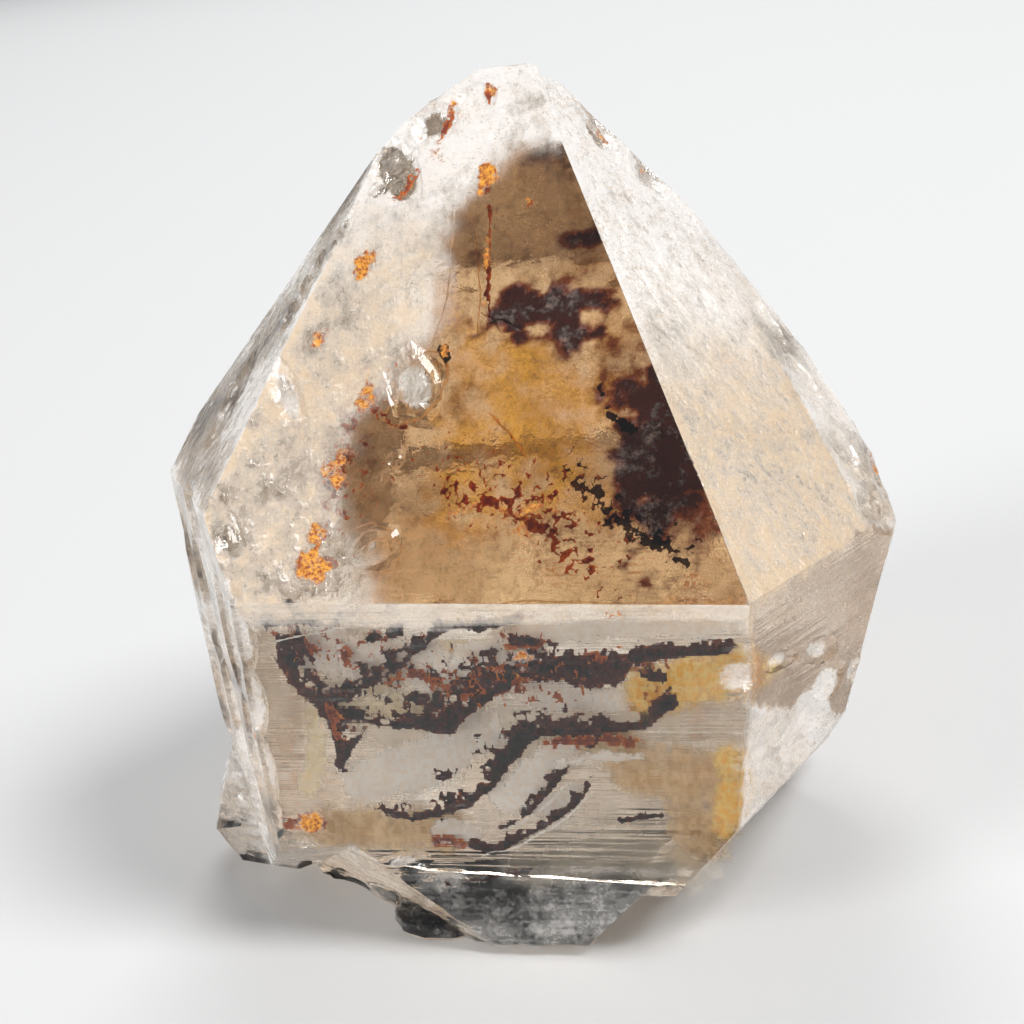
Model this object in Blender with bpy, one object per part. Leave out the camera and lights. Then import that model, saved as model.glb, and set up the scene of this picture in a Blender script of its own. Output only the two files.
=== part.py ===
# Enhydro quartz crystal: a short, broad quartz prism under a blunt six-sided pyramid,
# broken at the foot, with a small crystal grown on its lower left corner.
# Metres, +Z up along the crystal's long axis. The origin is on the resting spot,
# under the middle of the prism, and the widest prism face looks along -Y.

import math

import bmesh
import bpy
from mathutils import Matrix, Vector

MM = 0.001

# Prism faces: azimuth and elevation of the outward normal in degrees, and the
# distance from the origin in mm. A growing crystal's faces keep their angles but
# not their distances.
PRISM_FACES = (
    (-90.8, 0.6, 21.2),
    (-30.0, -1.6, 23.9),
    (30.0, 0.0, 24.4),
    (90.5, 0.6, 20.0),
    (150.0, 4.0, 23.1),
    (150.0, -3.5, 20.3),
    (-148.2, -1.1, 25.3),
)

# Pyramid faces, one above each prism face, at 38 degrees to the long axis.
PYRAMID_FACES = (
    (-89.8, 37.1, 32.6),
    (-29.9, 38.5, 35.5),
    (29.9, 37.8, 37.1),
    (92.0, 38.4, 36.85),
    (150.5, 36.5, 37.7),
    (-151.6, 39.7, 40.0),
)

# Plain breaks that take a whole corner off: the rim of the right pyramid face in
# four facets, the right edge and lower right corner, the lower left corner, the lip
# of the foot and the foot's back edges.
CORNER_BREAKS = (
    (-12.0, 34.2, 34.75),
    (14.6, 33.1, 35.0),
    (12.6, 28.0, 33.2),
    (7.8, 16.2, 29.9),
    (-5.0, -16.0, 17.3),
    (-15.2, -31.8, 12.5),
    (-22.0, -39.5, 9.9),
    (-158.0, -22.0, 22.0),
    (-178.0, 61.6, 50.9),
    (-90.0, -60.0, 9.5),
    (112.0, -50.0, 2.6),
    (55.0, -41.0, 8.5),
    (178.0, -38.0, 14.2),
)

BLOCK_SIZE = 90.0
FOOT_LEVEL = 0.0

# Re-entrant breaks: each removes what lies beyond all of its planes.
FRONT_FOOT_BREAK = ((-121.3, -30.0, 16.2), (-81.5, -53.0, 4.2))
RIGHT_FOOT_BREAK = ((-20.0, -42.5, 7.1), (-90.0, -75.0, 0.5))
RIGHT_LOW_BREAK = ((-32.5, -6.5, 22.2), (-40.0, -68.0, -9.3))
GROWTH_LEDGES = {
    "back_ledge": ((93.0, 2.5, 18.9), (84.0, -66.0, -9.5)),
    "back_right_ledge": ((30.4, 0.6, 24.0), (40.0, -74.0, -14.0)),
    "back_left_ledge": ((150.0, -1.5, 20.7), (120.0, -78.0, -12.0)),
    "back_pyramid_ledge": ((92.0, 38.8, 36.5), (8.0, 4.0, 6.2)),
    "back_right_pyramid_ledge": ((29.9, 37.4, 36.5), (78.0, -24.0, -5.2)),
    "back_left_pyramid_ledge": ((150.5, 36.9, 37.3), (-140.0, 0.0, 3.0)),
}

# Growth steps across the front prism face: upper edge height, lower edge height,
# and how far the strip between them is set back, all in mm.
FRONT_STEPS = (
    (25.3, 24.0, 0.14),
    (6.35, -1.0, 0.55),
)
STEP_REACH = 13.6
STEP_TILT = 3.5

# Faces that scoops are measured on: azimuth and elevation in degrees, distance in mm.
SCOOP_FACES = {
    "front": (-90.8, 0.6, 21.2),
    "left_front": (-148.2, -1.1, 25.3),
    "front_left_edge": (-120.0, 0.0, 26.5),
    "front_pyramid": (-89.8, 37.1, 32.6),
    "left_pyramid": (-151.6, 39.7, 40.0),
    "right_pyramid": (-29.9, 38.5, 35.5),
    "left_ridge": (179.0, 46.0, 41.5),
    "crown": (100.0, 62.0, 50.2),
    "rim": (-12.0, 34.2, 34.75),
    "outer_rim": (8.0, 16.2, 29.9),
    "right_edge": (-5.0, -16.0, 17.3),
    "right_front": (-30.0, -1.6, 23.9),
    "right_low": (-32.5, -6.5, 22.2),
    "front_foot": (-121.3, -30.0, 16.2),
    "back_right_edge": (60.0, 0.0, 25.6),
    "back_left_edge": (120.0, 0.0, 24.0),
    "back_rim": (90.0, 19.0, 29.6),
    "right_back_rim": (30.0, 18.0, 32.2),
    "back_edge_low": (112.0, -50.0, 2.6),
}

# Scoops left by glassy, shell-like fracture. Each has its middle on the face (mm
# across and mm up), half its width and height, its depth, and its turn in degrees.
SCOOPS = {
    "front": (
        (-14.4, 8.5, 3.2, 1.0, 0.45, 4),
        (-8.3, 7.2, 2.6, 0.9, 0.40, -12),
        (10.8, 7.4, 1.9, 2.4, 0.30, 20),
        (15.4, 20.9, 1.8, 1.2, 0.60, -20),
    ),
    "left_front": (
        (-2.1, 30.6, 2.3, 3.6, 0.50, -14),
        (-3.8, 23.0, 2.7, 5.6, 0.80, -10),
        (4.2, 23.6, 2.6, 4.6, 0.75, 8),
        (-1.4, 15.6, 2.8, 5.2, 0.85, -6),
        (5.0, 14.8, 2.2, 5.2, 0.60, 6),
        (-7.6, 15.0, 2.4, 6.2, 0.60, -8),
        (0.8, 8.8, 2.9, 3.8, 0.60, 10),
        (-8.6, 25.6, 2.2, 4.2, 0.55, 0),
    ),
    "front_left_edge": (
        (-5.2, 28.8, 1.9, 2.6, 0.80, -30),
        (-4.1, 24.2, 1.5, 2.7, 0.55, 0),
        (-4.5, 19.6, 1.6, 2.8, 0.60, 4),
        (-4.7, 14.6, 1.4, 3.0, 0.55, -4),
        (-5.0, 10.6, 1.4, 2.0, 0.50, 8),
    ),
    "front_pyramid": (
        (-5.8, 23.4, 2.1, 3.2, 0.45, -24),
        (-8.1, 12.5, 2.3, 1.3, 0.35, -30),
        (-6.8, 18.3, 0.7, 0.7, 0.30, 0),
        (-14.7, 23.2, 1.1, 3.8, 0.45, -22),
        (-7.8, 39.2, 1.8, 3.4, 0.55, -26),
        (-5.2, 42.6, 1.7, 1.8, 0.45, 10),
        (-2.2, 44.2, 1.6, 1.2, 0.35, 0),
        (-18.0, 13.2, 1.1, 2.6, 0.45, -20),
    ),
    "left_pyramid": (
        (4.9, 17.6, 1.2, 3.8, 0.50, 20),
        (0.2, 29.6, 2.2, 2.9, 0.70, 0),
        (1.6, 33.4, 1.8, 2.0, 0.60, 12),
        (-1.6, 23.6, 1.4, 3.6, 0.40, -8),
        (-3.2, 14.0, 2.0, 4.2, 0.35, -16),
    ),
    "left_ridge": (
        (3.2, 36.8, 1.9, 2.2, 0.60, 0),
        (3.4, 31.0, 1.6, 2.8, 0.50, 0),
    ),
    "crown": (
        (6.6, 19.6, 3.6, 3.4, 0.60, 0),
        (-4.6, 20.6, 2.6, 2.4, 0.50, 0),
    ),
    "right_pyramid": (
        (4.6, 38.0, 1.4, 2.8, 0.45, 12),
        (6.2, 33.8, 1.3, 2.4, 0.45, 10),
    ),
    "rim": (
        (2.4, 17.6, 1.5, 2.6, 0.45, 10),
        (0.9, 12.0, 1.5, 2.3, 0.50, 16),
        (3.8, 22.4, 1.1, 2.6, 0.35, 10),
        (-1.4, 8.6, 1.6, 1.5, 0.45, 0),
    ),
    "outer_rim": (
        (-5.4, 20.0, 2.2, 2.3, 0.55, 0),
        (-2.0, 16.6, 2.6, 2.8, 0.60, 20),
        (3.6, 18.0, 3.2, 3.0, 0.60, -14),
    ),
    "right_edge": (
        (-8.2, 29.4, 1.9, 1.7, 0.60, 0),
        (-9.0, 26.0, 1.7, 1.9, 0.60, 18),
        (-9.6, 22.4, 1.8, 1.7, 0.55, -10),
        (-2.4, 24.0, 4.2, 4.6, 0.80, 12),
        (5.2, 20.6, 4.6, 5.2, 0.80, -20),
    ),
    "right_front": (
        (-7.2, 21.6, 2.0, 0.8, 0.45, 12),
        (-2.6, 20.4, 2.4, 1.0, 0.45, 20),
    ),
    "right_low": (
        (-3.0, 17.2, 2.8, 3.4, 0.35, 24),
        (-0.6, 19.6, 2.0, 1.6, 0.40, 0),
        (-6.8, 14.8, 1.5, 3.0, 0.30, 0),
    ),
    "front_foot": (
        (-12.8, 10.4, 3.2, 2.0, 0.50, -14),
        (-7.0, 10.6, 3.0, 2.4, 0.60, 10),
        (-1.4, 11.6, 2.4, 1.8, 0.45, 24),
    ),
    "back_right_edge": (
        (-4.4, 23.0, 2.2, 4.6, 1.10, 5),
        (-4.2, 13.6, 2.0, 4.0, 0.90, -8),
    ),
    "back_left_edge": (
        (1.6, 26.0, 1.8, 4.2, 0.80, -6),
        (1.8, 15.0, 2.6, 5.0, 1.20, 10),
    ),
    "back_rim": (
        (-6.4, 24.6, 3.8, 1.3, 0.75, 5),
        (7.4, 24.4, 2.8, 1.1, 0.65, -8),
    ),
    "right_back_rim": (
        (0.6, 19.4, 3.4, 1.4, 0.75, 6),
    ),
    "back_edge_low": (
        (-4.0, 9.0, 5.4, 4.0, 0.80, 0),
        (6.6, 12.6, 4.6, 3.6, 0.70, 20),
    ),
}
SCOOP_SEGMENTS = 14
SCOOP_RINGS = 12
# Radius across the depth, as a multiple of the depth.
SCOOP_ROUNDNESS = 2.4
# How far a scoop's rim wanders from an ellipse.
SCOOP_WANDER = 0.16

# Small crystal grown on: foot centre in mm, radius, prism height, tip height, and
# the turn about X, Y and Z in degrees.
SIDE_CRYSTALS = (
    ((-21.8, -5.2, 0.2), 4.9, 5.6, 4.4, (8, -24, 12)),
)
# Rough lump under the front of the foot: centre, radii and turn.
FOOT_LUMPS = (
    ((-7.4, -16.2, 0.6), (3.9, 3.1, 1.7), (0, 6, 20)),
)
LUMP_SEGMENTS = 12
LUMP_RINGS = 7


def clear_objects():
    for thing in list(bpy.data.objects):
        bpy.data.objects.remove(thing, do_unlink=True)


def make_collection(name):
    group = bpy.data.collections.new(name)
    bpy.context.scene.collection.children.link(group)
    return group


def direction(azimuth, elevation):
    turn = math.radians(azimuth)
    rise = math.radians(elevation)
    level = math.cos(rise)
    return Vector((math.cos(turn) * level, math.sin(turn) * level, math.sin(rise)))


def new_object(name, bm, group):
    bmesh.ops.recalc_face_normals(bm, faces=bm.faces)
    mesh = bpy.data.meshes.new(name)
    bm.to_mesh(mesh)
    bm.free()
    thing = bpy.data.objects.new(name, mesh)
    group.objects.link(thing)
    return thing


def slice_off(bm, normal, distance):
    # Removes what lies further out than the plane and closes the cut.
    cut = bmesh.ops.bisect_plane(
        bm,
        geom=bm.verts[:] + bm.edges[:] + bm.faces[:],
        plane_co=normal * distance * MM,
        plane_no=normal,
        clear_outer=True,
    )
    rim = [item for item in cut["geom_cut"] if isinstance(item, bmesh.types.BMEdge)]
    if rim:
        bmesh.ops.edgeloop_fill(bm, edges=rim)


def block(centre, size):
    bm = bmesh.new()
    bmesh.ops.create_cube(bm, size=size * MM)
    bmesh.ops.translate(bm, verts=bm.verts, vec=Vector(centre) * MM)
    return bm


def make_crystal(group):
    bm = block((0, 0, BLOCK_SIZE / 4), BLOCK_SIZE)
    for azimuth, elevation, distance in PRISM_FACES + PYRAMID_FACES + CORNER_BREAKS:
        slice_off(bm, direction(azimuth, elevation), distance)
    return new_object("quartz_crystal", bm, group)


def mark_cutter(cutter):
    cutter.hide_render = True
    cutter.display_type = "WIRE"


def boolean(body, cutter, operation):
    step = body.modifiers.new(cutter.name, "BOOLEAN")
    step.operation = operation
    step.solver = "EXACT"
    step.object = cutter
    mark_cutter(cutter)


def make_corner_cutter(name, planes, group):
    # What lies beyond all the planes, within a block larger than the crystal.
    bm = block((0, 0, BLOCK_SIZE / 4), BLOCK_SIZE * 2)
    for azimuth, elevation, distance in planes:
        slice_off(bm, -direction(azimuth, elevation), -distance)
    return new_object(name, bm, group)


def make_step_cutter(name, upper, lower, depth, tilt, group):
    azimuth, elevation, distance = PRISM_FACES[0]
    outward = direction(azimuth, elevation)
    bm = block((0, 0, 0), 1.0)
    size = (STEP_REACH * 4, 8.0, upper - lower)
    bmesh.ops.scale(bm, vec=size, verts=bm.verts)
    face_turn = Matrix.Rotation(math.radians(azimuth + 90), 4, "Z")
    roll = Matrix.Rotation(math.radians(tilt), 4, "Y")
    middle = outward * (distance + 4.0 - depth)
    middle.z += (upper + lower) / 2
    place = Matrix.Translation(middle * MM)
    bmesh.ops.transform(bm, matrix=place @ face_turn @ roll, verts=bm.verts)
    return new_object(name, bm, group)


def turned(angles):
    x, y, z = (math.radians(angle) for angle in angles)
    return Matrix.Rotation(z, 4, "Z") @ Matrix.Rotation(y, 4, "Y") @ Matrix.Rotation(x, 4, "X")


def face_frame(azimuth, elevation):
    # Columns: across the face, outward from it, and up along it.
    outward = direction(azimuth, elevation)
    turn = math.radians(azimuth)
    across = Vector((-math.sin(turn), math.cos(turn), 0.0))
    upward = outward.cross(across)
    return Matrix((across, outward, upward)).transposed()


def make_scoop_cutter(name, face, scoop, group):
    azimuth, elevation, distance = SCOOP_FACES[face]
    across, upward, half_width, half_height, depth, turn = scoop
    thickness = depth * SCOOP_ROUNDNESS
    bury = (SCOOP_ROUNDNESS - 1.0) / SCOOP_ROUNDNESS
    spread = 1.0 / math.sqrt(1.0 - bury * bury)
    frame = face_frame(azimuth, elevation)
    middle = frame @ Vector((across, distance + thickness - depth, upward))
    bm = bmesh.new()
    bmesh.ops.create_uvsphere(
        bm, u_segments=SCOOP_SEGMENTS, v_segments=SCOOP_RINGS, radius=MM
    )
    stand = Matrix.Rotation(math.radians(90), 4, "X")
    bmesh.ops.transform(bm, matrix=stand, verts=bm.verts)
    start = across + upward
    for vert in bm.verts:
        around = math.atan2(vert.co.z, vert.co.x)
        wave = math.sin(2 * around + start) + 0.6 * math.sin(5 * around + 3 * start)
        vert.co.xz *= 1.0 + SCOOP_WANDER * wave * (1.0 - abs(vert.co.y) / MM)
    radii = (half_width * spread, thickness, half_height * spread)
    bmesh.ops.scale(bm, vec=radii, verts=bm.verts)
    roll = Matrix.Rotation(math.radians(turn), 4, "Y")
    place = Matrix.Translation(middle * MM) @ frame.to_4x4() @ roll
    bmesh.ops.transform(bm, matrix=place, verts=bm.verts)
    return new_object(name, bm, group)


def make_ball(name, centre, radii, angles, segments, rings, group):
    bm = bmesh.new()
    bmesh.ops.create_uvsphere(bm, u_segments=segments, v_segments=rings, radius=MM)
    bmesh.ops.scale(bm, vec=radii, verts=bm.verts)
    place = Matrix.Translation(Vector(centre) * MM) @ turned(angles)
    bmesh.ops.transform(bm, matrix=place, verts=bm.verts)
    return new_object(name, bm, group)


def make_side_crystal(name, foot, radius, height, tip, angles, group):
    bm = bmesh.new()
    bmesh.ops.create_cone(
        bm,
        cap_ends=True,
        segments=6,
        radius1=radius * MM,
        radius2=radius * MM,
        depth=height * MM,
        matrix=Matrix.Translation((0, 0, height / 2 * MM)),
    )
    top = [face for face in bm.faces if face.calc_center_median().z > (height - 0.1) * MM]
    bmesh.ops.poke(bm, faces=top, offset=0.0)
    peak = max(bm.verts, key=lambda v: v.co.z - v.co.xy.length)
    peak.co.z += tip * MM
    place = Matrix.Translation(Vector(foot) * MM) @ turned(angles)
    bmesh.ops.transform(bm, matrix=place, verts=bm.verts)
    return new_object(name, bm, group)


def make_foot_cutter(group):
    bm = block((0, 0, FOOT_LEVEL - BLOCK_SIZE / 2), BLOCK_SIZE)
    return new_object("foot_level", bm, group)


def quartz_material():
    look = bpy.data.materials.new("quartz")
    look.use_nodes = True
    shader = look.node_tree.nodes["Principled BSDF"]
    shader.inputs["Base Color"].default_value = (0.72, 0.66, 0.58, 1.0)
    shader.inputs["Roughness"].default_value = 0.18
    shader.inputs["Metallic"].default_value = 0.0
    shader.inputs["Transmission Weight"].default_value = 0.6
    shader.inputs["IOR"].default_value = 1.544
    return look


def main():
    clear_objects()
    parts = make_collection("enhydro_quartz")
    cutters = make_collection("cutters")
    crystal = make_crystal(parts)
    crystal.data.materials.append(quartz_material())

    corner_breaks = {
        "front_foot_break": FRONT_FOOT_BREAK,
        "right_foot_break": RIGHT_FOOT_BREAK,
        "right_low_break": RIGHT_LOW_BREAK,
        **GROWTH_LEDGES,
    }
    for name, planes in corner_breaks.items():
        boolean(crystal, make_corner_cutter(name, planes, cutters), "DIFFERENCE")

    for index, (upper, lower, depth) in enumerate(FRONT_STEPS):
        tilt = STEP_TILT * math.sin(2.1 * index)
        cutter = make_step_cutter(f"front_step_{index}", upper, lower, depth, tilt, cutters)
        boolean(crystal, cutter, "DIFFERENCE")

    for face, scoops in SCOOPS.items():
        for index, scoop in enumerate(scoops):
            cutter = make_scoop_cutter(f"{face}_scoop_{index}", face, scoop, cutters)
            boolean(crystal, cutter, "DIFFERENCE")

    for index, (foot, radius, height, tip, angles) in enumerate(SIDE_CRYSTALS):
        small = make_side_crystal(
            f"side_crystal_{index}", foot, radius, height, tip, angles, cutters
        )
        boolean(crystal, small, "UNION")
    for index, (centre, radii, angles) in enumerate(FOOT_LUMPS):
        lump = make_ball(
            f"foot_lump_{index}", centre, radii, angles, LUMP_SEGMENTS, LUMP_RINGS, cutters
        )
        boolean(crystal, lump, "UNION")
    boolean(crystal, make_foot_cutter(cutters), "DIFFERENCE")


main()
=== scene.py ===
import math

import bmesh
import bpy
from mathutils import Matrix, Vector, noise


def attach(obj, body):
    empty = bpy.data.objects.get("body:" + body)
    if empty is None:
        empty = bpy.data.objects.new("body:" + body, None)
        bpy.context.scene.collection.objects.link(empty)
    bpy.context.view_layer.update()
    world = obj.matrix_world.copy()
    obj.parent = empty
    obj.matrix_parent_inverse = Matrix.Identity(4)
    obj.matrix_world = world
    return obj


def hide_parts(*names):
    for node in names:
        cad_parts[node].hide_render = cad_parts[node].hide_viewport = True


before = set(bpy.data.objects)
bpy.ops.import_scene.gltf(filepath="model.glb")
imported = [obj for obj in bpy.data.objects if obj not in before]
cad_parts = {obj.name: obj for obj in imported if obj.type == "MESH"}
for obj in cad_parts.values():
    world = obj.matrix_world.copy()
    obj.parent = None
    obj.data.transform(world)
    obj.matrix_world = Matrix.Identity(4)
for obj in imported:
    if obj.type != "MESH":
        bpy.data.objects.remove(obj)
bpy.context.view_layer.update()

# Lengths are in millimetres, and MM turns them into Blender's metres.
MM = 0.001
SLICE_STEP = 0.56
FLAKE_STEP = 0.12
FILM_STEP = 0.5
CRACK_STEP = 0.35
FLAKE_THICKNESS = 0.04
CRACK_THICKNESS = 0.03

# The natural faces: direction round the crystal, rise, distance from the middle of the foot.
FACES = {
    "front": (-90.8, 0.6, 21.2),
    "front_right": (-30.0, -1.6, 23.9),
    "back_right": (30.0, 0.0, 24.4),
    "back": (90.5, 0.6, 20.0),
    "front_left": (-148.2, -1.1, 25.3),
    "tip_front": (-89.8, 37.1, 32.6),
    "tip_right": (-29.9, 38.5, 35.5),
    "tip_back_right": (29.9, 37.8, 37.1),
    "tip_back": (92.0, 38.4, 36.85),
    "tip_back_left": (150.5, 36.5, 37.7),
    "tip_left": (-151.6, 39.7, 40.0),
}


def face_axes(name):
    """A face's outward normal, its level and its upward direction, and its distance."""
    around, rise, distance = FACES[name]
    a, e = math.radians(around), math.radians(rise)
    normal = Vector((math.cos(e) * math.cos(a), math.cos(e) * math.sin(a), math.sin(e)))
    across = Vector((-math.sin(a), math.cos(a), 0.0))
    return normal, across, normal.cross(across), distance


AXES = {name: face_axes(name) for name in FACES}


def on_face(name, x, up_mm, depth):
    """A point under a face, in mm, from its x place, its height up the slope and its depth."""
    normal, across, up, distance = AXES[name]
    base = normal * (distance - depth) + up * up_mm
    return base + across * ((x - base.x) / across.x)


def smooth(value, low, high):
    """0 below low, 1 above high, and an S-shaped step between them."""
    t = max(0.0, min(1.0, (value - low) / (high - low)))
    return t * t * (3.0 - 2.0 * t)


def between(value, places):
    """Straight-line steps through a short list of (value, result) places."""
    for (v0, r0), (v1, r1) in zip(places, places[1:]):
        if value <= v1:
            t = max(0.0, (value - v0) / (v1 - v0))
            return r0 + (r1 - r0) * t
    return places[-1][1]


def fractal(point, size, octaves=4, shift=0.0):
    """A noise about zero, with its largest lumps of the given size."""
    place = Vector(point) / size + Vector((shift, shift * 1.7, -shift))
    return noise.fractal(place, 1.0, 2.0, octaves, noise_basis="PERLIN_ORIGINAL")


# Materials


class Look:
    """One Principled material and the nodes that feed it."""

    def __init__(self, name):
        self.material = bpy.data.materials.new(name)
        self.material.use_nodes = True
        self.tree = self.material.node_tree
        self.shader = self.tree.nodes["Principled BSDF"]
        self.out = self.tree.nodes["Material Output"]
        self.coords = self.node("ShaderNodeTexCoord")

    def node(self, kind, **values):
        made = self.tree.nodes.new(kind)
        for key, value in values.items():
            setattr(made, key, value)
        return made

    def link(self, source, target):
        self.tree.links.new(source, target)

    def feed(self, socket, source):
        self.link(source, self.shader.inputs[socket])

    def set(self, socket, value):
        self.shader.inputs[socket].default_value = value

    def attribute(self, name):
        return self.node("ShaderNodeAttribute", attribute_name=name).outputs["Fac"]

    def noise(self, scale, detail, roughness, vector=None):
        made = self.node("ShaderNodeTexNoise")
        made.inputs["Scale"].default_value = scale
        made.inputs["Detail"].default_value = detail
        made.inputs["Roughness"].default_value = roughness
        self.link(vector or self.coords.outputs["Object"], made.inputs["Vector"])
        return made.outputs["Fac"]

    def stretched(self, scale):
        """The object's coordinates, scaled apart along each axis."""
        mapping = self.node("ShaderNodeMapping")
        mapping.inputs["Scale"].default_value = scale
        self.link(self.coords.outputs["Object"], mapping.inputs["Vector"])
        return mapping.outputs["Vector"]

    def ramp(self, source, low, high, bottom=0.0, top=1.0):
        made = self.node("ShaderNodeMapRange", interpolation_type="SMOOTHSTEP")
        made.inputs["From Min"].default_value = low
        made.inputs["From Max"].default_value = high
        made.inputs["To Min"].default_value = bottom
        made.inputs["To Max"].default_value = top
        self.link(source, made.inputs["Value"])
        return made.outputs["Result"]

    def math(self, operation, first, second, clamp=False):
        made = self.node("ShaderNodeMath", operation=operation, use_clamp=clamp)
        for index, value in enumerate((first, second)):
            if isinstance(value, float):
                made.inputs[index].default_value = value
            else:
                self.link(value, made.inputs[index])
        return made.outputs["Value"]

    def times(self, first, second):
        return self.math("MULTIPLY", first, second)

    def around_zero(self, value, amount):
        """A noise made to swing about zero, its whole swing times the amount."""
        return self.times(self.math("SUBTRACT", value, 0.5), amount)

    def total(self, *values):
        value = values[0]
        for other in values[1:]:
            value = self.math("ADD", value, other)
        return value

    def mix(self, factor, first, second):
        """One colour fading to another; each is a tuple or a socket."""
        made = self.node("ShaderNodeMix", data_type="RGBA")
        self.link(factor, made.inputs["Factor"])
        for socket, value in (("A", first), ("B", second)):
            slot = [s for s in made.inputs if s.name == socket and s.type == "RGBA"][0]
            if isinstance(value, tuple):
                slot.default_value = (*value, 1.0)
            else:
                self.link(value, slot)
        return [s for s in made.outputs if s.type == "RGBA"][0]

    def bump(self, height, strength, distance):
        made = self.node("ShaderNodeBump")
        made.inputs["Strength"].default_value = strength
        made.inputs["Distance"].default_value = distance
        self.link(height, made.inputs["Height"])
        self.feed("Normal", made.outputs["Normal"])


# Tints of the clear quartz, of the smoke in its front tip face, of the frosting and the rust, and a painted
# shade: a dark grey that darkens the clear glass.
CLEAR = (0.97, 0.93, 0.87)
PAINTED_SHADE = (0.10, 0.085, 0.075)
SMOKE_BROWN = (0.74, 0.34, 0.105)
SMOKE_GOLD = (0.74, 0.20, 0.005)
SMOKE_PALE = (0.90, 0.45, 0.14)
SMOKE_SPECK = (0.20, 0.050, 0.008)
SMOKE_RED = (0.075, 0.005, 0.0004)
SMOKE_BLACK = (0.0030, 0.0002, 0.0001)
FROST_WHITE = (0.95, 0.92, 0.89)
FROST_BEIGE = (0.76, 0.58, 0.39)
FROST_SPECK = (0.58, 0.46, 0.35)
RUST_ORANGE = (0.86, 0.38, 0.04)
RUST_BROWN = (0.30, 0.06, 0.012)

# How strongly light turns into quartz, and between quartz and the water or gas shut in it.
QUARTZ_INDEX = 1.544
WATER_INDEX = 1.16
GAS_INDEX = 1.5

# Light lost inside the quartz, the roughness of its polish and frosting, and their covers.
BODY_TINT = (0.86, 0.74, 0.56, 1.0)
BODY_DENSITY = 13.0
POLISH = 0.015
FROST_ROUGHNESS = 0.45
FROST_COVER = 0.68
RUST_COVER = 0.85

# Scales of the noises, from fine to coarse, and the stretch of the growth lines.
DUST = 3600.0
GRAIN = 950.0
CLOUD = 210.0
LINES = 480.0
LEVEL_LINES = (0.10, 0.10, 3.6)
SLOPE_LINES = (2.6, 2.6, 0.24)


def growth_streaks(look):
    """Growth lines about zero: level on the upright faces, down the slope on the tip faces."""
    lined, sloped = look.attribute("lined"), look.attribute("sloped")
    way = look.node("ShaderNodeMix", data_type="VECTOR")
    look.link(look.math("GREATER_THAN", sloped, lined), way.inputs["Factor"])
    level_socket, slope_socket = [s for s in way.inputs if s.type == "VECTOR" and s.name in ("A", "B")]
    look.link(look.stretched(LEVEL_LINES), level_socket)
    look.link(look.stretched(SLOPE_LINES), slope_socket)
    chosen = [s for s in way.outputs if s.type == "VECTOR"][0]
    lines = look.noise(LINES, 2.5, 0.7, chosen)
    return look.times(look.around_zero(lines, 1.0), look.math("MAXIMUM", lined, sloped))


def smoke_tint(look, dust, grain, cloud):
    """The smoke's own colour: brown, with gold, tan, dark red and nearly black clouds."""
    gold = look.total(look.attribute("gold"), look.around_zero(cloud, 1.0), look.around_zero(grain, 0.5))
    tint = look.mix(look.ramp(gold, 0.05, 1.0), SMOKE_BROWN, SMOKE_GOLD)
    pale = look.total(look.attribute("pale"), look.around_zero(cloud, 0.7), look.around_zero(dust, 0.6))
    tint = look.mix(look.ramp(pale, 0.2, 1.0), tint, SMOKE_PALE)
    mottle = look.ramp(look.total(dust, look.around_zero(grain, 0.8)), 0.42, 0.76)
    tint = look.mix(look.times(mottle, 0.70), tint, SMOKE_SPECK)
    dark = look.total(look.attribute("dark"), look.around_zero(cloud, 1.3))
    red = look.total(dark, look.around_zero(grain, 0.9))
    tint = look.mix(look.ramp(red, 0.05, 0.75), tint, SMOKE_RED)
    black = look.total(dark, look.around_zero(grain, 1.2), look.around_zero(dust, 0.8))
    return look.mix(look.ramp(black, 0.55, 1.1), tint, SMOKE_BLACK)


def frost_color(look, dust, grain, cloud):
    """The frosting's own colour: white to warm beige, with fine tan specks."""
    warm = look.total(look.attribute("warm"), look.around_zero(grain, 0.35), look.around_zero(cloud, 0.6))
    color = look.mix(look.ramp(warm, 0.05, 1.0), FROST_WHITE, FROST_BEIGE)
    specks = look.ramp(look.total(dust, look.around_zero(cloud, 0.4)), 0.52, 0.74)
    return look.mix(specks, color, FROST_SPECK)


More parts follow.
